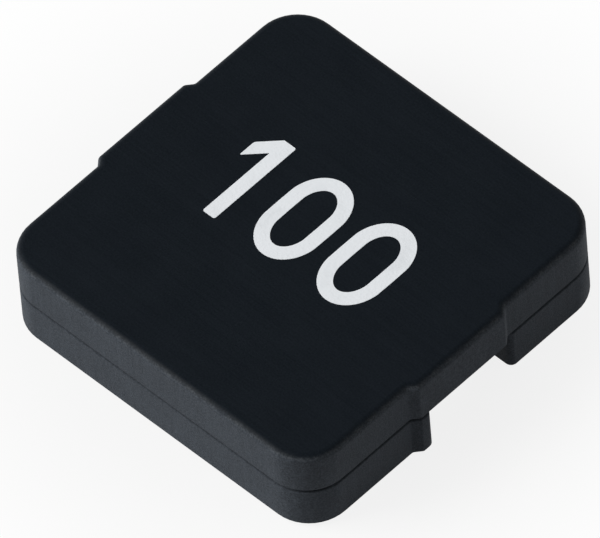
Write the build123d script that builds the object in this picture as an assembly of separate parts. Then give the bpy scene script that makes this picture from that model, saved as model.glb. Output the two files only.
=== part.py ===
from build123d import *
from math import asin, cos, degrees, radians
import os

# Shielded surface-mount inductor. A flat copper wire, wound on edge around a centre post, is closed
# in by two pressed ferrite halves. Millimetres, +Z up. The origin is on the board, under the middle
# of the body. The two terminal sides face +X and -X.

# Flat wire winding
wire_width = 1.5
wire_thickness = 0.19
turn_gap = 0.04  # enamel and air between neighbouring turns
full_turns = 4  # whole turns, before the part turn between the two wire ends
wire_bend_radius = 0.3  # inside of the edgewise bend that turns a wire end outward
winding_clearance = 0.15  # beside the winding, towards the post and towards the wall
headroom = 0.065  # above the winding

# Ferrite halves
post_radius = 1.9
side_wall = 1.3  # thinnest wall on the two plain sides
end_wall = 0.68  # wall outside the lead pocket on the two terminal sides
floor_thickness = 0.58
lid_thickness = 0.66
lower_core_height = 1.23
corner_radius = 1.1
pocket_corner_radius = 0.2
top_edge_radius = 0.2
bottom_chamfer = 0.06
seam_chamfer = 0.04

# Raised panel on each terminal side, and the notch under it
panel_leg = 0.36  # panel left standing on one side of the notch
panel_ramp = 0.2  # length of the sloping ends
panel_proud = 0.17
panel_blend = 0.1  # rounding where the slopes start and end
notch_overrun = 0.05  # how far the notch runs past the panel on its other side
notch_mouth_radius = 0.18

# Terminal clips
terminal_width = 1.9
terminal_thickness = 0.15
terminal_bend_radius = 0.1  # inside radius
pad_length = 2.0
pad_corner_radius = 0.25
lap_length = 0.45  # welded overlap on the wire end
lead_clearance = 0.12  # between a clip and the ferrite beside it
lap_clearance = 0.05  # between a clip and the turns, and past the end of the wire
pad_clearance = 0.02  # between a solder pad and the roof of its recess
stand_off = 0.07  # board to ferrite

# Joints between the halves
gap_thickness = 0.1  # film in the magnetic gap
gap_setback = 0.05  # film edge to post edge
glue_thickness = 0.03
glue_setback = 0.1  # glue edge to wall edge

# Plan of the winding and of what is laid out around it
coil_inner = post_radius + winding_clearance
coil_outer = coil_inner + wire_width
coil_mean = (coil_inner + coil_outer) / 2
window_radius = coil_outer + winding_clearance
bend_mean = wire_bend_radius + wire_width / 2
end_angle = degrees(asin(bend_mean / (coil_mean + bend_mean)))
bend_center = ((coil_mean + bend_mean) * cos(radians(end_angle)), bend_mean)

lap_start = coil_outer + lap_clearance
riser_inner = lap_start + lap_length
riser_outer = riser_inner + terminal_thickness
wire_end = riser_inner - terminal_bend_radius - lap_clearance
pad_end = riser_outer - pad_length
pocket_reach = riser_outer + lead_clearance
floor_edge = riser_inner - lead_clearance

half_length = pocket_reach + end_wall
half_width = window_radius + side_wall

# The notch reaches further past the clip on the side from which the wire swings out
notch_near = -(terminal_width / 2 + lead_clearance)
panel_half = panel_leg - notch_near
panel_foot = panel_half + panel_ramp
notch_far = panel_foot + notch_overrun

# Stack-up from the board
pitch = wire_thickness + turn_gap
turns = full_turns + (180 - 2 * end_angle) / 360
coil_rise = pitch * turns
floor_top = stand_off + floor_thickness
seam_low = stand_off + lower_core_height
seam_high = seam_low + glue_thickness
post_bottom = floor_top + gap_thickness
upper_turn = floor_top + coil_rise
window_top = upper_turn + wire_thickness + headroom
body_height = window_top + lid_thickness


def raised(sketch: Sketch, bottom: float, top: float) -> Part:
    """Extrude a plan between two heights above the board."""
    return Pos(0, 0, bottom) * extrude(sketch, top - bottom)


def core_plan() -> Sketch:
    """Outline of both ferrite halves: a rounded square with a raised panel at each end."""
    tip = half_length + panel_proud
    corner = [(half_length, -panel_foot), (tip, -panel_half), (tip, panel_half), (half_length, panel_foot)]
    panels = Polygon(*corner, *[(-x, -y) for x, y in corner], align=None)
    plan = RectangleRounded(2 * half_length, 2 * half_width, corner_radius) + panels
    bends = [v for v in plan.vertices() if abs(v.Y) < panel_foot + panel_blend]
    return fillet(bends, panel_blend)


def lead_slots(inner: float, outer: float, margin: float = 0) -> Sketch:
    """Slots for the two leads, as wide as the notch, between two distances from the middle."""
    middle = (notch_near + notch_far) / 2
    slot = Rectangle(outer - inner, notch_far - notch_near + 2 * margin)
    across = (inner + outer) / 2
    return Pos(across, middle) * slot + Pos(-across, middle) * slot


def notched(plan: Sketch) -> Sketch:
    """Round the outer edges that the notches leave in a plan of the lower half."""
    outer = [v for v in plan.vertices() if abs(v.X) > pocket_reach]
    mouths = [v for v in outer if notch_near - 0.01 < v.Y < notch_far + 0.01]
    return fillet(mouths, notch_mouth_radius)


def make_upper_core() -> Part:
    """Cap with the centre post and a blind pocket for each lead."""
    cap = raised(core_plan(), seam_high, body_height)
    cap = fillet(cap.faces().sort_by(Axis.Z)[-1].edges(), top_edge_radius)
    cap = chamfer(cap.faces().sort_by(Axis.Z)[0].edges(), seam_chamfer)
    pockets = lead_slots(coil_mean, pocket_reach)
    corners = [v for v in pockets.vertices() if abs(v.X) > coil_outer]
    window = Circle(window_radius) + fillet(corners, pocket_corner_radius)
    cap -= raised(window, seam_high, window_top)
    return cap + raised(Circle(post_radius), post_bottom, window_top)


def make_lower_core() -> Part:
    """Tray with a notch through floor and wall at each end and a recess over each solder pad."""
    beyond = half_length + 2 * panel_proud
    floor = notched(core_plan() - lead_slots(floor_edge, beyond))
    wall = notched(core_plan() - lead_slots(coil_mean, beyond)) - Circle(window_radius)
    tray = raised(floor, stand_off, floor_top) + raised(wall, floor_top, seam_low)
    tray = chamfer(tray.faces().sort_by(Axis.Z)[0].edges(), bottom_chamfer)
    rims = tray.faces().filter_by(Plane.XY).group_by(Axis.Z)[-1].edges()
    outer_rims = [e for e in rims if (e @ 0.5).length > window_radius + seam_chamfer]
    tray = chamfer(outer_rims, seam_chamfer)
    run = floor_edge - pad_end + lead_clearance
    recess = Rectangle(run, terminal_width + 2 * lead_clearance)
    across = floor_edge - run / 2
    recesses = Pos(across, 0) * recess + Pos(-across, 0) * recess
    return tray - raised(recesses, 0, terminal_thickness + pad_clearance)


def make_winding() -> Part:
    """Edgewise helix of flat wire, with a flat bend at each end that runs out over a terminal."""
    section = Rectangle(wire_width, wire_thickness)
    helix = Helix(pitch, coil_rise, coil_mean)
    coil = sweep(Plane.XZ * Pos(coil_mean, 0) * section, path=helix, is_frenet=True)
    bend = CenterArc(bend_center, bend_mean, 180 + end_angle, 90 - end_angle)
    run = Line(bend @ 1, (wire_end, 0))
    across = Plane(bend @ 0, x_dir=(bend @ 0).normalized(), z_dir=bend % 0)
    start = sweep(across * section, path=Wire([bend.edge(), run.edge()]))
    finish = Pos(0, 0, coil_rise) * mirror(start, about=Plane.YZ)
    return Pos(0, 0, floor_top + wire_thickness / 2) * (Rot(0, 0, end_angle) * coil + start + finish)


def make_terminal(lap_bottom: float) -> Part:
    """Clip on the +X side: lap on the wire end, riser in the notch, solder pad under the tray."""
    lap_top = lap_bottom + terminal_thickness
    profile = Polygon(
        (lap_start, lap_bottom),
        (riser_inner, lap_bottom),
        (riser_inner, terminal_thickness),
        (pad_end, terminal_thickness),
        (pad_end, 0),
        (riser_outer, 0),
        (riser_outer, lap_top),
        (lap_start, lap_top),
        align=None,
    )
    inner = profile.vertices().group_by(Axis.X)[-2]
    profile = fillet(inner, terminal_bend_radius)
    outer = [v for v in profile.vertices() if v.X > riser_outer - 0.001]
    profile = fillet(outer, terminal_bend_radius + terminal_thickness)
    clip = extrude(Plane.XZ * profile, terminal_width / 2, both=True)
    corners = clip.edges().filter_by(Axis.Z).group_by(Axis.X)[0]
    return fillet(corners, pad_corner_radius)


def make_glue_lines() -> ShapeList[Solid]:
    """Glue on the two walls of the tray, set back from their edges, front wall first."""
    beyond = half_length + 2 * panel_proud
    bed = offset(core_plan(), -glue_setback) - Circle(window_radius + glue_setback)
    bed -= lead_slots(coil_mean, beyond, notch_mouth_radius + glue_setback)
    return raised(bed, seam_low, seam_high).solids().sort_by(Axis.Y)


def make_gap_spacer() -> Part:
    """Film disc between the centre post and the floor of the tray."""
    return raised(Circle(post_radius - gap_setback), floor_top, post_bottom)


front_glue, back_glue = make_glue_lines()
nodes = {
    "upper_core": make_upper_core(),
    "lower_core": make_lower_core(),
    "winding": make_winding(),
    "start_terminal": make_terminal(floor_top + wire_thickness),
    "finish_terminal": mirror(make_terminal(upper_turn - terminal_thickness), about=Plane.YZ),
    "gap_spacer": make_gap_spacer(),
    "front_glue_line": front_glue,
    "back_glue_line": back_glue,
}

os.makedirs("parts", exist_ok=True)
for name, node in nodes.items():
    export_step(node, f"parts/{name}.step")
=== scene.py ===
"""Studio scene of a low square inductor: two black ferrite halves round a flat-wire winding."""
import logging
import math
from dataclasses import dataclass
from enum import Enum
from typing import Any, Mapping, Optional, Sequence, Tuple, Union

import bmesh
import bpy
from mathutils import Matrix, Vector


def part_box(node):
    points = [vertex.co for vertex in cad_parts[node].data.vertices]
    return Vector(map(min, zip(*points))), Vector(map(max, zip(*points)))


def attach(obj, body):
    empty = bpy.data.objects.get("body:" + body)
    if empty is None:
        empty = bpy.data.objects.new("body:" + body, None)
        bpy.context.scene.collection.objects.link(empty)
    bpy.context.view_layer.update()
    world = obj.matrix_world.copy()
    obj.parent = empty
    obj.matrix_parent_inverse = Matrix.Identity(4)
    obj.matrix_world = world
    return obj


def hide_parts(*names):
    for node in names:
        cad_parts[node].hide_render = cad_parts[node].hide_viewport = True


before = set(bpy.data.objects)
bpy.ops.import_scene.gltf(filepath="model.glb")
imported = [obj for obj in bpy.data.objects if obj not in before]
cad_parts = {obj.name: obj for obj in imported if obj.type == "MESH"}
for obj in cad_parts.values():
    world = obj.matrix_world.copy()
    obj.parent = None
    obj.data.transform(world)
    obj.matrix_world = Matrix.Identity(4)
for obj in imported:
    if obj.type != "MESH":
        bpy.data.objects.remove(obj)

MM = 0.001
NEAR = 0.01 * MM
CREASE_DEGREES = 35.0
Triple = Tuple[float, float, float]
Colour = Triple
log = logging.getLogger("inductor")


class Slot(Enum):
    """Material slots of the record."""

    UPPER_FERRITE = "upper_ferrite"
    LOWER_FERRITE = "lower_ferrite"
    WIRE = "enamelled_copper"
    CLIP = "tinned_copper"
    FILM = "gap_film"
    GLUE = "epoxy"


class Side(Enum):
    """The two terminal sides, as the sign of their X direction."""

    START = 1
    FINISH = -1


class Value:
    """A number on a shader socket that takes part in Python arithmetic."""

    def __init__(self, graph: "Graph", socket: Optional[bpy.types.NodeSocket]) -> None:
        """Hold a socket of a graph."""
        self.graph = graph
        self.socket = socket

    def _math(self, operation: str, *terms: "Number") -> "Value":
        """Add one Math node for an operation on the given terms."""
        return self.graph.add("ShaderNodeMath", {"operation": operation}, dict(enumerate(terms)))

    def __add__(self, other: "Number") -> "Value":
        """Sum."""
        return self._math("ADD", self, other)

    def __radd__(self, other: "Number") -> "Value":
        """Sum with a plain number on the left."""
        return self._math("ADD", other, self)

    def __sub__(self, other: "Number") -> "Value":
        """Difference."""
        return self._math("SUBTRACT", self, other)

    def __rsub__(self, other: "Number") -> "Value":
        """Difference from a plain number."""
        return self._math("SUBTRACT", other, self)

    def __mul__(self, other: "Number") -> "Value":
        """Product."""
        return self._math("MULTIPLY", self, other)

    def __rmul__(self, other: "Number") -> "Value":
        """Product with a plain number on the left."""
        return self._math("MULTIPLY", other, self)

    def __abs__(self) -> "Value":
        """Size without its sign."""
        return self._math("ABSOLUTE", self)

    def larger(self, other: "Number") -> "Value":
        """The larger of two values."""
        return self._math("MAXIMUM", self, other)

    def ease(self, start: float, end: float) -> "Value":
        """Smooth step from 0 at start to 1 at end.

        Args:
            start: Value at which the result is 0.
            end: Value at which the result is 1; it may lie below start.

        Returns:
            The eased value, between 0 and 1.
        """
        settings = {"interpolation_type": "SMOOTHSTEP"}
        if start <= end:
            return self.graph.add("ShaderNodeMapRange", settings, {0: self, 1: start, 2: end})
        return 1 - self.graph.add("ShaderNodeMapRange", settings, {0: self, 1: end, 2: start})


Number = Union[float, Value]


class Graph:
    """Node tree of one material or of the world, with its nodes made through one method."""

    def __init__(self, tree: bpy.types.NodeTree) -> None:
        """Start from an empty tree."""
        self.tree = tree
        tree.nodes.clear()

    def add(
        self,
        kind: str,
        settings: Optional[Mapping[str, Any]] = None,
        inputs: Optional[Mapping[Union[int, str], Any]] = None,
        output: Union[int, str] = 0,
    ) -> Value:
        """Add a node.

        Args:
            kind: Node type.
            settings: Properties of the node, set before its sockets.
            inputs: Values or links by socket name or number.
            output: Socket to return.

        Returns:
            The chosen output.
        """
        node = self.tree.nodes.new(kind)
        for name, setting in (settings or {}).items():
            setattr(node, name, setting)
        for key, term in (inputs or {}).items():
            if isinstance(term, Value):
                self.tree.links.new(term.socket, node.inputs[key])
            else:
                node.inputs[key].default_value = term
        return Value(self, node.outputs[output] if len(node.outputs) else None)

    def place_mm(self) -> Value:
        """Place on the piece in millimetres."""
        place = self.add("ShaderNodeTexCoord", output="Object")
        return self.add("ShaderNodeVectorMath", {"operation": "SCALE"}, {0: place, "Scale": 1 / MM})

    def stretched(self, place: Value, by: Triple) -> Value:
        """A place with each axis multiplied, so that a pattern on it is drawn out."""
        return self.add("ShaderNodeVectorMath", {"operation": "MULTIPLY"}, {0: place, 1: by})

    def axis(self, place: Value, name: str) -> Value:
        """One coordinate of a place."""
        return self.add("ShaderNodeSeparateXYZ", inputs={0: place}, output=name)

    def noise(
        self, place: Value, scale: float, detail: float = 3.0, roughness: float = 0.55
    ) -> Value:
        """Soft noise between 0 and 1.

        Args:
            place: Where it is read.
            scale: Waves for each unit of place.
            detail: Octaves of finer noise.
            roughness: Strength of the finer octaves.

        Returns:
            The noise.
        """
        inputs = {"Vector": place, "Scale": scale, "Detail": detail, "Roughness": roughness}
        return self.add("ShaderNodeTexNoise", inputs=inputs)

    def cells(self, place: Value, scale: float) -> Value:
        """Distance to the nearest of scattered seeds."""
        inputs = {"Vector": place, "Scale": scale}
        return self.add("ShaderNodeTexVoronoi", inputs=inputs, output="Distance")

    def mix(self, share: Number, first: Any, second: Any) -> Value:
        """Blend two colours.

        Args:
            share: Share of the second colour.
            first: Colour at 0.
            second: Colour at 1.

        Returns:
            The blend.
        """
        inputs = {0: share, 6: self._opaque(first), 7: self._opaque(second)}
        return self.add("ShaderNodeMix", {"data_type": "RGBA"}, inputs, 2)

    def bump(self, height: Value, depth: float) -> Value:
        """Normal for a height map whose full swing is a depth in millimetres."""
        inputs = {"Height": height, "Distance": depth * MM, "Strength": 1.0}
        return self.add("ShaderNodeBump", inputs=inputs)

    def surface(self, **inputs: Any) -> None:
        """Add the surface shader and the output.

        Args:
            **inputs: Sockets of the shader, with underscores for spaces.
        """
        named = {name.replace("_", " "): self._opaque(term) for name, term in inputs.items()}
        shader = self.add("ShaderNodeBsdfPrincipled", inputs=named, output="BSDF")
        self.add("ShaderNodeOutputMaterial", inputs={"Surface": shader})

    @staticmethod
    def _opaque(term: Any) -> Any:
        """A plain colour with its alpha; anything else as it is."""
        return (*term, 1.0) if isinstance(term, tuple) and len(term) == 3 else term


def new_material(name: str) -> Tuple[bpy.types.Material, Graph]:
    """Make an empty node material.

    Args:
        name: Name of the finish.

    Returns:
        The material and its graph.
    """
    material = bpy.data.materials.new(name)
    material.use_nodes = True
    return material, Graph(material.node_tree)


@dataclass(frozen=True)
class FerriteFinish:
    """Sintered ferrite: grey grain, pits in painted shade, a dark ground top, a rim paled by wear
    and a painted highlight, and a seam darkened by grime and painted shade.
    """

    name: str
    body: Colour
    grain: Colour
    ground: Colour
    ground_grain: Colour
    # Rim colour: real rubbing plus a painted highlight.
    rim_wear_and_highlight: Colour
    roughness: float
    ground_roughness: float
    ground_from: float
    # Height of the rim that gets rubbing and a painted highlight.
    rim_wear_and_highlight_height: float
    ground_fade: float = 0.1
    ground_ragged: float = 0.06
    rim_reach: float = 0.07
    # Height of the seam, whose band is darkened with grime and painted shade.
    seam: float = 1.315
    seam_reach: Tuple[float, float] = (0.06, 0.03)
    grain_scale: float = 21.0
    mottle_scale: float = 4.5
    cloud_scale: float = 0.8
    pit_scale: float = 7.0
    pit_reach: Tuple[float, float] = (0.15, 0.05)
    pit_patch_scale: float = 3.1
    press_lines: Triple = (9.0, 9.0, 0.7)
    grinding_lines: Triple = (0.35, 22.0, 1.0)
    relief: float = 0.012
    specular: float = 0.045

    def material(self) -> bpy.types.Material:
        """Make the material.

        Returns:
            The material, for pieces in the shared frame.
        """
        material, graph = new_material(self.name)
        place = graph.place_mm()
        height = graph.axis(place, "Z")
        grain = graph.noise(place, self.grain_scale, 4.0, 0.7)
        mottle = graph.noise(place, self.mottle_scale, 3.0, 0.6)
        clouds = graph.noise(place, self.cloud_scale, 3.0, 0.6)
        drawn = graph.noise(graph.stretched(place, self.press_lines), 1.0, 3.0, 0.6)
        grinding = graph.noise(graph.stretched(place, self.grinding_lines), 1.0, 4.0, 0.7)
        pitted = graph.noise(place, self.pit_patch_scale, 1.0).ease(0.52, 0.6)
        pits = graph.cells(place, self.pit_scale).ease(*self.pit_reach) * pitted
        ragged = height + (mottle - 0.5) * self.ground_ragged
        ground = ragged.ease(self.ground_from, self.ground_from + self.ground_fade)

        share = grain.ease(0.3, 0.74) * 0.55 + mottle * 0.3 + clouds * 0.2 + drawn * 0.25 - 0.16
        side = graph.mix(share.ease(0.0, 1.0), self.body, self.grain)
        fine = grain * 0.6 + grinding * 0.25 + clouds * 0.15
        top = graph.mix(fine.ease(0.33, 0.67), self.ground, self.ground_grain)
        colour = graph.mix(ground, side, top)
        # Rim paled by real rubbing and by a painted highlight on the rounded edge.
        colour = graph.mix(self._rim_wear_and_highlight_share(height, grain, mottle), colour, self.rim_wear_and_highlight)
        # Painted shade in the pits: they are darkened towards the ground colour.
        colour = graph.mix(pits * (0.8 - ground * 0.5), colour, self.ground)
        # Painted shade and grime along the seam: the band round its height is darkened towards the
        # ground colour.
        seam_grime_and_shade = abs(height - self.seam).ease(*self.seam_reach) * (0.3 + mottle * 0.35)
        colour = graph.mix(seam_grime_and_shade, colour, self.ground)

        rough = self.roughness + (grain - 0.5) * 0.22 + (mottle - 0.5) * 0.12
        rough_top = self.ground_roughness + (grain - 0.5) * 0.1 + (grinding - 0.5) * 0.14
        roughness = rough + (rough_top - rough) * ground
        relief = grain * (1 - ground * 0.93) + (drawn * 0.3 + mottle * 0.5) * (1 - ground)
        relief = relief + grinding * ground * 0.06 - pits * (0.9 - ground * 0.6)
        graph.surface(
            Base_Color=colour,
            Roughness=roughness,
            Normal=graph.bump(relief, self.relief),
            Specular_IOR_Level=self.specular,
        )
        return material

    def _rim_wear_and_highlight_share(self, height: Value, grain: Value, mottle: Value) -> Value:
        """Share of the rim paled by rubbing and by a painted highlight.

        Args:
            height: Height in millimetres.
            grain: Fine grain, which picks out the rubbing and the painted highlight.
            mottle: Coarser noise, which breaks both up.

        Returns:
            The share.
        """
        band = abs(height - self.rim_wear_and_highlight_height).ease(self.rim_reach, 0.0)
        return band * (0.14 + grain.ease(0.4, 0.7) * 0.36) * mottle.ease(0.25, 0.7)


@dataclass(frozen=True)
class EnamelFinish:
    """Copper wire under clear amber enamel."""

    name: str = "amber_enamel_on_copper"
    copper: Colour = (0.62, 0.2, 0.055)
    deep: Colour = (0.4, 0.1, 0.025)
    metallic: float = 0.9
    roughness: float = 0.3
    coat: float = 0.6
    coat_roughness: float = 0.12
    run_lines: Triple = (1.0, 1.0, 6.0)
    run_scale: float = 2.2
    fine_scale: float = 18.0
    relief: float = 0.002

    def material(self) -> bpy.types.Material:
        """Make the material.

        Returns:
            The material.
        """
        material, graph = new_material(self.name)
        place = graph.place_mm()
        runs = graph.noise(graph.stretched(place, self.run_lines), self.run_scale, 4.0, 0.6)
        fine = graph.noise(place, self.fine_scale)
        colour = graph.mix(runs.ease(0.3, 0.75), self.copper, self.deep)
        graph.surface(
            Base_Color=colour,
            Metallic=self.metallic,
            Roughness=self.roughness + (runs - 0.5) * 0.2,
            Coat_Weight=self.coat,
            Coat_Roughness=self.coat_roughness,
            Normal=graph.bump(fine * 0.4 + runs, self.relief),
        )
        return material


@dataclass(frozen=True)
class TinFinish:
    """Satin tin plating on a copper strip, dulled in patches and scored along the strip."""

    name: str = "satin_tin"
    bright: Colour = (0.62, 0.61, 0.585)
    dull: Colour = (0.52, 0.51, 0.49)
    roughness: float = 0.24
    patch_scale: float = 1.1
    score_lines: Triple = (0.6, 24.0, 0.6)
    crystal_scale: float = 20.0
    relief: float = 0.0006

    def material(self) -> bpy.types.Material:
        """Make the material.

        Returns:
            The material.
        """
        material, graph = new_material(self.name)
        place = graph.place_mm()
        patches = graph.noise(place, self.patch_scale, 3.0, 0.5)
        scores = graph.noise(graph.stretched(place, self.score_lines), 1.0, 3.0, 0.6)
        crystals = graph.noise(place, self.crystal_scale, 3.0, 0.6)
        dulled = patches.ease(0.35, 0.75) * 0.6 + scores * 0.4
        graph.surface(
            Base_Color=graph.mix(dulled, self.bright, self.dull),
            Metallic=1.0,
            Roughness=self.roughness + (patches - 0.5) * 0.16 + (scores - 0.5) * 0.16,
            Normal=graph.bump(scores * 0.6 + crystals * 0.4, self.relief),
        )
        return material


@dataclass(frozen=True)
class FilmFinish:
    """Amber polyimide film with faint haze."""

    name: str = "amber_film"
    amber: Colour = (0.45, 0.22, 0.035)
    pale: Colour = (0.56, 0.34, 0.09)
    roughness: float = 0.25
    haze_scale: float = 1.4
    ripple_scale: float = 7.0
    relief: float = 0.003

    def material(self) -> bpy.types.Material:
        """Make the material.

        Returns:
            The material.
        """
        material, graph = new_material(self.name)
        place = graph.place_mm()
        haze = graph.noise(place, self.haze_scale, 4.0, 0.6)
        graph.surface(
            Base_Color=graph.mix(haze, self.amber, self.pale),
            Roughness=self.roughness + haze * 0.25,
            Normal=graph.bump(graph.noise(place, self.ripple_scale, 2.0), self.relief),
        )
        return material


@dataclass(frozen=True)
class GlueFinish:
    """Cured black epoxy, glossy in places and dusty in others."""

    name: str = "black_epoxy"
    black: Colour = (0.011, 0.011, 0.012)
    dusty: Colour = (0.03, 0.031, 0.033)
    roughness: float = 0.4
    specular: float = 0.2
    dust_scale: float = 3.0
    ripple_scale: float = 9.0
    relief: float = 0.01

    def material(self) -> bpy.types.Material:
        """Make the material.

        Returns:
            The material.
        """
        material, graph = new_material(self.name)
        place = graph.place_mm()
        dust = graph.noise(place, self.dust_scale, 4.0, 0.65).ease(0.35, 0.75)
        graph.surface(
            Base_Color=graph.mix(dust, self.black, self.dusty),
            Roughness=self.roughness + dust * 0.3,
            Specular_IOR_Level=self.specular,
            Normal=graph.bump(graph.noise(place, self.ripple_scale), self.relief),
        )
        return material


@dataclass(frozen=True)
class InkFinish:
    """White marking ink, thin enough that the ferrite greys it in specks."""

    name: str = "white_marking_ink"
    white: Colour = (0.9, 0.93, 0.96)
    thin: Colour = (0.68, 0.71, 0.74)
    roughness: float = 0.55
    specular: float = 0.3
    cloud_scale: float = 1.6
    speck_scale: float = 13.0
    ripple_scale: float = 15.0
    relief: float = 0.005

    def material(self) -> bpy.types.Material:
        """Make the material.

        Returns:
            The material.
        """
        material, graph = new_material(self.name)
        place = graph.place_mm()
        clouds = graph.noise(place, self.cloud_scale, 4.0, 0.6)
        specks = graph.noise(place, self.speck_scale, 3.0, 0.7).ease(0.6, 0.78)
        share = clouds.ease(0.45, 0.85) * 0.4 + specks * 0.5
        graph.surface(
            Base_Color=graph.mix(share, self.white, self.thin),
            Roughness=self.roughness + (clouds - 0.5) * 0.2,
            Specular_IOR_Level=self.specular,
            Normal=graph.bump(graph.noise(place, self.ripple_scale), self.relief),
        )
        return material


def new_piece(
    name: str,
    shape: bmesh.types.BMesh,
    finish: bpy.types.Material,
    stands_for: Sequence[str] = (),
) -> bpy.types.Object:
    """Turn a shape into a piece of the object.

    Args:
        name: Name of the piece.
        shape: Shape in the shared frame; it is freed.
        finish: Material of the piece.
        stands_for: CAD nodes that the piece is shown for.

    Returns:
        The piece.
    """
    mesh = bpy.data.meshes.new(name)
    shape.to_mesh(mesh)
    shape.free()
    mesh.shade_smooth()
    mesh.set_sharp_from_angle(angle=math.radians(CREASE_DEGREES))
    mesh.materials.append(finish)
    piece = bpy.data.objects.new(name, mesh)
    bpy.context.scene.collection.objects.link(piece)
    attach(piece, "root")
    if stands_for:
        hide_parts(*stands_for)
    even = piece.modifiers.new("even_shading", "WEIGHTED_NORMAL")
    even.keep_sharp = True
    log.info("%s: %d faces", name, len(mesh.polygons))
    return piece


def sharp_edges(shape: bmesh.types.BMesh, angle: float) -> Sequence[bmesh.types.BMEdge]:
    """Edges at which the surface turns by more than an angle in degrees."""
    limit = math.radians(angle)
    return [e for e in shape.edges if e.is_manifold and e.calc_face_angle() > limit]


def round_edges(
    shape: bmesh.types.BMesh,
    edges: Sequence[bmesh.types.BMEdge],
    radius: float,
    segments: int,
) -> None:
    """Round edges of a shape.

    Args:
        shape: Shape that holds them.
        edges: Edges to round.
        radius: How far the rounding reaches from each edge.
        segments: Number of faces across it.
    """
    bmesh.ops.bevel(
        shape,
        geom=edges,
        offset=radius,
        affect="EDGES",
        segments=segments,
        profile=0.5,
        material=-1,
        clamp_overlap=True,
    )


class Strip:
    """A section that is drawn out along straight runs and bends into a closed strip."""

    CORNER_STEPS = 4

    def __init__(self, width: float, thickness: float, rounding: float, start: Vector) -> None:
        """Lay down the first section, which faces along X.

        Args:
            width: Size of the section along Y.
            thickness: Size of the section along Z.
            rounding: Radius on its four corners, or 0 to leave them square.
            start: Middle of the section.
        """
        self.shape = bmesh.new()
        bmesh.ops.create_grid(self.shape, x_segments=1, y_segments=1, size=0.5)
        bmesh.ops.scale(self.shape, vec=(width, thickness, 1.0), verts=self.shape.verts)
        if rounding:
            bmesh.ops.bevel(
                self.shape,
                geom=self.shape.verts[:],
                offset=rounding,
                affect="VERTICES",
                segments=self.CORNER_STEPS,
                profile=0.5,
                material=-1,
            )
        facing_x = Matrix(((0, 0, 1), (1, 0, 0), (0, 1, 0))).to_4x4()
        place = Matrix.Translation(start) @ facing_x
        bmesh.ops.transform(self.shape, matrix=place, verts=self.shape.verts)
        self.end = next(iter(self.shape.faces))

    def run(self, by: Vector) -> None:
        """Draw the strip straight on.

        Args:
            by: Way from the present end to the new one.
        """
        made = bmesh.ops.extrude_face_region(self.shape, geom=self._end_parts())["geom"]
        self._take_end(made)
        bmesh.ops.translate(self.shape, vec=by, verts=self.end.verts)

    def bend(
        self, centre: Vector, axis: Vector, angle: float, steps: int, rise: float = 0.0
    ) -> None:
        """Draw the strip round an axis.

        Args:
            centre: Point on the axis.
            axis: Direction of the axis.
            angle: Angle in radians.
            steps: Number of sections laid down.
            rise: Climb along the axis in all.
        """
        made = bmesh.ops.spin(
            self.shape,
            geom=self._end_parts(),
            cent=centre,
            axis=axis,
            dvec=axis * (rise / steps),
            angle=angle,
            steps=steps,
            use_merge=False,
            use_duplicate=False,
        )["geom_last"]
        self._take_end(made)

    def close(self) -> bmesh.types.BMesh:
        """Turn every face outwards.

        Returns:
            The finished shape.
        """
        bmesh.ops.recalc_face_normals(self.shape, faces=self.shape.faces[:])
        return self.shape

    def _end_parts(self) -> Sequence[Any]:
        """The end section with its edges and corners, so that none of it stays inside the strip."""
        return [self.end, *self.end.edges, *self.end.verts]

    def _take_end(self, made: Sequence[Any]) -> None:
        """Remember the section that was laid down last."""
        self.end = next(part for part in made if isinstance(part, bmesh.types.BMFace))


@dataclass
class CoreHalf:
    """One ferrite half, taken from its solid with every edge broken as tumbling leaves it."""

    node: str
    piece: str
    slot: Slot
    finish: FerriteFinish
    ink_room: float = 0.0
    rim_zone: float = 0.3 * MM
    edge_break: float = 0.012 * MM
    edge_steps: int = 2
    sharp_degrees: float = 30.0
    flat_degrees: float = 0.4
    merge_within: float = 0.0005 * MM

    def build(self) -> bmesh.types.BMesh:
        """Shape the half.

        Returns:
            The shape in the shared frame.
        """
        shape = bmesh.new()
        shape.from_mesh(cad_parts[self.node].data)
        bmesh.ops.remove_doubles(shape, verts=shape.verts[:], dist=self.merge_within)
        flat = math.radians(self.flat_degrees)
        bmesh.ops.dissolve_limit(
            shape, angle_limit=flat, verts=shape.verts[:], edges=shape.edges[:]
        )
        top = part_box(self.node)[1].z
        if self.ink_room:
            bmesh.ops.scale(
                shape,
                vec=(1.0, 1.0, 1.0 - self.ink_room / self.rim_zone),
                space=Matrix.Translation((0.0, 0.0, self.rim_zone - top)),
                verts=[v for v in shape.verts if v.co.z > top - self.rim_zone],
            )
        round_edges(shape, sharp_edges(shape, self.sharp_degrees), self.edge_break, self.edge_steps)
        return shape

    def dress(self) -> bpy.types.Object:
        """Build the half and give it its finish."""
        return new_piece(self.piece, self.build(), self.finish.material(), [self.node])


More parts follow.
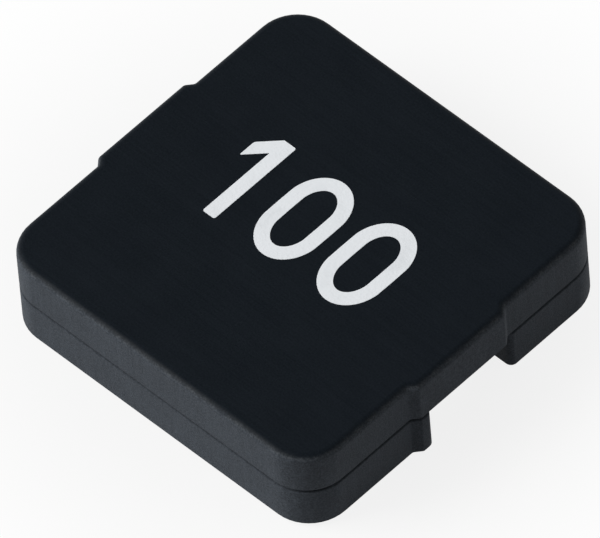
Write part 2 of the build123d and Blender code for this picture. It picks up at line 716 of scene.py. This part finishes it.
@dataclass
class FlatWireWinding:
    """Flat wire wound on edge, with both ends swung out over the terminals."""

    node: str = "winding"
    width: float = 1.5 * MM
    thickness: float = 0.19 * MM
    rounding: float = 0.06 * MM
    bend_inside: float = 0.3 * MM
    whole_turns: int = 4
    steps_per_turn: int = 96
    bend_steps: int = 16

    def build(self) -> bmesh.types.BMesh:
        """Wind the wire from its start end to its finish end.

        Returns:
            The shape in the shared frame.
        """
        low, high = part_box(self.node)
        up = Vector((0.0, 0.0, 1.0))
        mean = high.y - self.width / 2
        bend = self.bend_inside + self.width / 2
        swing = math.asin(bend / (mean + bend))
        centre = Vector(((mean + bend) * math.cos(swing), bend, 0.0))
        wound = math.radians(360 * self.whole_turns + 180) - 2 * swing
        rise = high.z - low.z - self.thickness
        first = Vector((high.x, 0.0, low.z + self.thickness / 2))
        straight = Vector((centre.x - high.x, 0.0, 0.0))

        wire = Strip(self.width, self.thickness, self.rounding, first)
        wire.run(straight)
        wire.bend(centre, up, swing - math.pi / 2, self.bend_steps)
        steps = round(self.steps_per_turn * wound / (2 * math.pi))
        wire.bend(Vector(), up, wound, steps, rise)
        wire.bend(Vector((-centre.x, centre.y, 0.0)), up, swing - math.pi / 2, self.bend_steps)
        wire.run(straight)
        return wire.close()

    def dress(self) -> bpy.types.Object:
        """Build the winding and give it its enamel."""
        finish = EnamelFinish().material()
        return new_piece("flat_wire", self.build(), finish, [self.node])


@dataclass
class TerminalClip:
    """Tinned strip: solder pad under the tray, riser in the notch, lap on the wire end."""

    node: str
    piece: str
    side: Side
    thickness: float = 0.15 * MM
    bend_inside: float = 0.1 * MM
    lap_start: float = 3.6 * MM
    bend_steps: int = 10
    pad_corner: float = 0.25 * MM
    corner_steps: int = 8
    edge_break: float = 0.025 * MM
    edge_steps: int = 3
    sharp_degrees: float = 50.0

    def build(self) -> bmesh.types.BMesh:
        """Form the strip on the start side, and mirror it for the finish side.

        Returns:
            The shape in the shared frame.
        """
        low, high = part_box(self.node)
        inner, outer = sorted((abs(low.x), abs(high.x)))
        turn = self.bend_inside + self.thickness
        axis = Vector((0.0, -1.0, 0.0))
        first = Vector((inner, 0.0, self.thickness / 2))

        strip = Strip(high.y - low.y, self.thickness, 0.0, first)
        strip.run(Vector((outer - turn - inner, 0.0, 0.0)))
        strip.bend(Vector((outer - turn, 0.0, turn)), axis, math.pi / 2, self.bend_steps)
        strip.run(Vector((0.0, 0.0, high.z - 2 * turn)))
        strip.bend(Vector((outer - turn, 0.0, high.z - turn)), axis, math.pi / 2, self.bend_steps)
        strip.run(Vector((self.lap_start - outer + turn, 0.0, 0.0)))
        shape = strip.close()
        pad_end = [e for e in shape.edges if all(v.co.x < inner + NEAR for v in e.verts)]
        pad_corners = [e for e in pad_end if abs(e.verts[0].co.y - e.verts[1].co.y) < NEAR]
        round_edges(shape, pad_corners, self.pad_corner, self.corner_steps)
        round_edges(shape, sharp_edges(shape, self.sharp_degrees), self.edge_break, self.edge_steps)
        if self.side is Side.FINISH:
            bmesh.ops.scale(shape, vec=(-1.0, 1.0, 1.0), verts=shape.verts)
            bmesh.ops.recalc_face_normals(shape, faces=shape.faces[:])
        return shape

    def dress(self, finish: bpy.types.Material) -> bpy.types.Object:
        """Build the clip and give it its plating."""
        return new_piece(self.piece, self.build(), finish, [self.node])


@dataclass
class CoreJoints:
    """Film in the magnetic gap and glue on the two walls; their solids are shown as they are."""

    film: str = "gap_spacer"
    glue: Tuple[str, ...] = ("front_glue_line", "back_glue_line")

    def dress(self) -> None:
        """Give film and glue their finishes."""
        self._cover(self.film, FilmFinish().material())
        glue = GlueFinish().material()
        for node in self.glue:
            self._cover(node, glue)

    @staticmethod
    def _cover(node: str, finish: bpy.types.Material) -> None:
        """Put a finish on a CAD node."""
        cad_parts[node].material_slots[0].material = finish
        log.info("%s: dressed", node)


@dataclass
class PrintedValue:
    """Plain number, one hundred, printed on the top in a thin coat of ink."""

    height: float = 2.75 * MM
    stroke: float = 0.38 * MM
    middle: Tuple[float, float] = (0.0, 0.36 * MM)
    stem: float = -1.99 * MM
    flag_reach: float = 0.5 * MM
    flag_drop: float = 0.5 * MM
    flag_depth: float = 0.5 * MM
    zeros: Tuple[float, ...] = (-0.24 * MM, 1.79 * MM)
    zero_width: float = 1.62 * MM
    zero_crown: float = 1.0 * MM
    zero_steps: int = 64
    corner: float = 0.05 * MM
    corner_steps: int = 3
    coat: float = 0.008 * MM

    def build(self) -> bmesh.types.BMesh:
        """Draw the digits, thicken them and lay them on the top face.

        Returns:
            The shape in the shared frame.
        """
        shape = bmesh.new()
        self._one(shape)
        for across in self.zeros:
            self._zero(shape, across)
        raised = bmesh.ops.extrude_face_region(shape, geom=shape.faces[:], use_keep_orig=True)
        lifted = [v for v in raised["geom"] if isinstance(v, bmesh.types.BMVert)]
        bmesh.ops.translate(shape, vec=(0.0, 0.0, 2 * self.coat), verts=lifted)
        bmesh.ops.recalc_face_normals(shape, faces=shape.faces[:])
        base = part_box("upper_core")[1].z - 2 * self.coat
        bmesh.ops.translate(shape, vec=(*self.middle, base), verts=shape.verts)
        return shape

    def _one(self, shape: bmesh.types.BMesh) -> None:
        """Draw the one: a stem with a flag drawn out of its left edge.

        Args:
            shape: Shape that takes the digit.
        """
        made = bmesh.ops.create_grid(shape, x_segments=1, y_segments=1, size=0.5)["verts"]
        bmesh.ops.scale(shape, vec=(self.stroke, self.height, 1.0), verts=made)
        root = self.height / 2 - self.flag_depth
        bmesh.ops.bisect_plane(
            shape,
            geom=shape.verts[:] + shape.edges[:] + shape.faces[:],
            plane_co=(0.0, root, 0.0),
            plane_no=(0.0, 1.0, 0.0),
        )
        left = [
            e
            for e in shape.edges
            if max(v.co.x for v in e.verts) < 0.0 and min(v.co.y for v in e.verts) > root - NEAR
        ]
        flag = bmesh.ops.extrude_edge_only(shape, edges=left)["geom"]
        tip = [v for v in flag if isinstance(v, bmesh.types.BMVert)]
        bmesh.ops.translate(shape, vec=(-self.flag_reach, -self.flag_drop, 0.0), verts=tip)
        bmesh.ops.translate(shape, vec=(self.stem, 0.0, 0.0), verts=shape.verts)
        ends = [v for v in shape.verts if len(v.link_edges) == 2]
        bmesh.ops.bevel(
            shape,
            geom=ends,
            offset=self.corner,
            affect="VERTICES",
            segments=self.corner_steps,
            profile=0.5,
            material=-1,
        )

    def _zero(self, shape: bmesh.types.BMesh, across: float) -> None:
        """Draw a zero: a tall oval with its inside taken out.

        Args:
            shape: Shape that takes the digit.
            across: Middle of the digit.
        """
        made = bmesh.ops.create_circle(
            shape, cap_ends=True, segments=self.zero_steps, radius=0.5
        )["verts"]
        bmesh.ops.scale(shape, vec=(self.zero_width, 2 * self.zero_crown, 1.0), verts=made)
        spread = self.height / 2 - self.zero_crown
        crown = [v for v in made if v.co.y > NEAR]
        foot = [v for v in made if v.co.y < -NEAR]
        bmesh.ops.translate(shape, vec=(0.0, spread, 0.0), verts=crown)
        bmesh.ops.translate(shape, vec=(0.0, -spread, 0.0), verts=foot)
        oval = next(iter(made[0].link_faces))
        bmesh.ops.inset_region(
            shape, faces=[oval], thickness=self.stroke, use_boundary=True, use_even_offset=True
        )
        hole = list(oval.verts)
        bmesh.ops.delete(shape, geom=[oval], context="FACES_ONLY")
        ring = {v for h in hole for e in h.link_edges for v in e.verts}
        bmesh.ops.translate(shape, vec=(across, 0.0, 0.0), verts=list(ring))

    def dress(self) -> bpy.types.Object:
        """Build the number and give it its ink."""
        return new_piece("printed_value", self.build(), InkFinish().material())


def towards(azimuth: float, elevation: float) -> Vector:
    """Direction from the object to a viewer or a lamp.

    Args:
        azimuth: Degrees; 0 is in front on the -Y side, 90 on the +X side.
        elevation: Degrees above the floor.

    Returns:
        The unit direction.
    """
    a, e = math.radians(azimuth), math.radians(elevation)
    return Vector((math.sin(a) * math.cos(e), -math.cos(a) * math.cos(e), math.sin(e)))


@dataclass
class Lamp:
    """One soft square lamp aimed at the object."""

    name: str
    azimuth: float
    elevation: float
    distance: float
    size: float
    power: float

    def build(self) -> None:
        """Hang the lamp."""
        data = bpy.data.lights.new(self.name, "AREA")
        data.size = self.size
        data.energy = self.power
        lamp = bpy.data.objects.new(self.name, data)
        back = towards(self.azimuth, self.elevation)
        lamp.location = back * self.distance
        lamp.rotation_mode = "QUATERNION"
        lamp.rotation_quaternion = back.to_track_quat("Z", "Y")
        lamp.visible_camera = False
        bpy.context.scene.collection.objects.link(lamp)
        log.info("%s: hung", self.name)


@dataclass
class Studio:
    """Pale floor, soft lamps and a white surround."""

    floor_radius: float = 0.9
    floor_steps: int = 96
    floor_pale: Colour = (0.62, 0.62, 0.62)
    floor_warm: Colour = (0.6, 0.6, 0.595)
    floor_clouds: float = 0.05
    floor_glow: float = 0.84
    floor_fade: Tuple[float, float] = (4.0, 13.0)
    floor_drop: float = 0.004 * MM
    ambient: float = 0.1
    lamps: Tuple[Lamp, ...] = (
        Lamp("key_lamp", azimuth=-46.0, elevation=36.0, distance=0.32, size=0.2, power=1.3),
        Lamp("fill_lamp", azimuth=125.0, elevation=36.0, distance=0.36, size=0.2, power=0.13),
    )

    def build(self) -> None:
        """Set up the floor, the lamps and the surround."""
        self._floor()
        for lamp in self.lamps:
            lamp.build()
        self._surround()

    def _floor(self) -> None:
        """Lay the floor under the pads."""
        shape = bmesh.new()
        bmesh.ops.create_circle(
            shape, cap_ends=True, segments=self.floor_steps, radius=self.floor_radius
        )
        bmesh.ops.translate(shape, vec=(0.0, 0.0, -self.floor_drop), verts=shape.verts)
        mesh = bpy.data.meshes.new("studio_floor")
        shape.to_mesh(mesh)
        shape.free()
        mesh.materials.append(self._floor_finish())
        floor = bpy.data.objects.new("studio_floor", mesh)
        bpy.context.scene.collection.objects.link(floor)
        log.info("studio_floor: laid")

    def _floor_finish(self) -> bpy.types.Material:
        """Make the floor's pale matt paint, which shows partly as the plain white background.

        Returns:
            The material.
        """
        material, graph = new_material("pale_matt_floor")
        place = graph.place_mm()
        clouds = graph.noise(place, self.floor_clouds, 2.0)
        colour = graph.mix(clouds, self.floor_pale, self.floor_warm)
        paint = {"Base Color": colour, "Roughness": 1.0, "Specular IOR Level": 0.0}
        matt = graph.add("ShaderNodeBsdfPrincipled", inputs=paint)
        white = graph.add("ShaderNodeEmission", inputs={"Color": (1.0, 1.0, 1.0, 1.0)})
        spread = graph.add("ShaderNodeVectorMath", {"operation": "LENGTH"}, {0: place}, "Value")
        glow = self.floor_glow + spread.ease(*self.floor_fade) * (1 - self.floor_glow)
        shown = self._shown(graph) * glow
        surface = graph.add("ShaderNodeMixShader", inputs={0: shown, 1: matt, 2: white})
        graph.add("ShaderNodeOutputMaterial", inputs={"Surface": surface})
        return material

    def _surround(self) -> None:
        """Make the world white where it is seen and soft where it lights."""
        world = bpy.data.worlds.new("studio_surround")
        world.use_nodes = True
        graph = Graph(world.node_tree)
        seen = self._shown(graph)
        soft = graph.add("ShaderNodeBackground", inputs={"Strength": self.ambient})
        white = graph.add("ShaderNodeBackground", inputs={"Color": (1.0, 1.0, 1.0, 1.0)})
        mixed = graph.add("ShaderNodeMixShader", inputs={0: seen, 1: soft, 2: white})
        graph.add("ShaderNodeOutputWorld", inputs={"Surface": mixed})
        bpy.context.scene.world = world

    @staticmethod
    def _shown(graph: Graph) -> Value:
        """Tell the rays that show the background to the camera, in a reflection or through glass.

        Args:
            graph: Graph that takes the nodes.

        Returns:
            1 for those rays, 0 for the others.
        """
        camera = graph.add("ShaderNodeLightPath", output="Is Camera Ray")
        glossy = graph.add("ShaderNodeLightPath", output="Is Glossy Ray")
        through = graph.add("ShaderNodeLightPath", output="Is Transmission Ray")
        return camera.larger(glossy).larger(through)


@dataclass
class LongLensCamera:
    """Camera at the viewing angle of the photograph, far off with a long lens."""

    azimuth: float = 47.885
    elevation: float = 51.759
    roll: float = -5.126
    frame_width: float = 13.933 * MM
    distance: float = 0.6
    sensor: float = 36.0
    clip_start: float = 0.01
    aim: Triple = (0.0, 0.0, 1.27 * MM)
    aside: float = -0.0814 * MM
    below: float = -0.023 * MM

    def build(self) -> None:
        """Set up the camera and make it the scene's own."""
        back = towards(self.azimuth, self.elevation)
        turn = math.radians(self.azimuth)
        level = Vector((math.cos(turn), math.sin(turn), 0.0))
        upright = Matrix((level, back.cross(level), back)).transposed()
        turned = upright @ Matrix.Rotation(math.radians(self.roll), 3, "Z")
        data = bpy.data.cameras.new("photo_camera")
        data.sensor_width = self.sensor
        data.lens = self.sensor * self.distance / self.frame_width
        data.clip_start = self.clip_start
        camera = bpy.data.objects.new("photo_camera", data)
        aim = Vector(self.aim) + turned.col[0] * self.aside + turned.col[1] * self.below
        where = aim + back * self.distance
        camera.matrix_world = Matrix.Translation(where) @ turned.to_4x4()
        bpy.context.scene.collection.objects.link(camera)
        bpy.context.scene.camera = camera
        log.info("photo_camera: lens %.0f mm", data.lens)


UPPER_FERRITE = FerriteFinish(
    name="ground_top_ferrite",
    body=(0.026, 0.03, 0.036),
    grain=(0.078, 0.09, 0.106),
    ground=(0.0022, 0.0042, 0.0066),
    ground_grain=(0.008, 0.0112, 0.0152),
    rim_wear_and_highlight=(0.13, 0.14, 0.15),
    roughness=0.62,
    ground_roughness=0.46,
    ground_from=2.44,
    rim_wear_and_highlight_height=2.49,
)
LOWER_FERRITE = FerriteFinish(
    name="matt_ferrite",
    body=(0.026, 0.03, 0.036),
    grain=(0.078, 0.09, 0.106),
    # Dark colour used only for the painted shade in the pits and at the seam; the tray has no
    # ground top.
    ground=(0.01, 0.011, 0.013),
    ground_grain=(0.078, 0.09, 0.106),
    rim_wear_and_highlight=(0.13, 0.14, 0.15),
    roughness=0.62,
    ground_roughness=0.62,
    ground_from=9.0,
    rim_wear_and_highlight_height=0.09,
)


def clear_startup() -> None:
    """Remove the objects of a new Blender scene that aren't part of the frame."""
    for name in ("Cube", "Light", "Camera"):
        if name in bpy.data.objects:
            bpy.data.objects.remove(bpy.data.objects[name])


def main() -> None:
    """Build the object, the studio and the camera."""
    logging.basicConfig(level=logging.INFO, format="%(name)s: %(message)s")
    clear_startup()
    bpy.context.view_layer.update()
    bpy.context.scene.view_settings.view_transform = "Standard"
    LongLensCamera().build()
    ink = PrintedValue()
    cap = CoreHalf("upper_core", "ferrite_cap", Slot.UPPER_FERRITE, UPPER_FERRITE, ink.coat)
    tray = CoreHalf("lower_core", "ferrite_tray", Slot.LOWER_FERRITE, LOWER_FERRITE)
    for piece in (cap, tray, ink):
        piece.dress()
    FlatWireWinding().dress()
    tin = TinFinish().material()
    TerminalClip("start_terminal", "start_clip", Side.START).dress(tin)
    TerminalClip("finish_terminal", "finish_clip", Side.FINISH).dress(tin)
    CoreJoints().dress()
    Studio().build()
    bpy.context.view_layer.update()


if __name__ == "__main__":
    main()
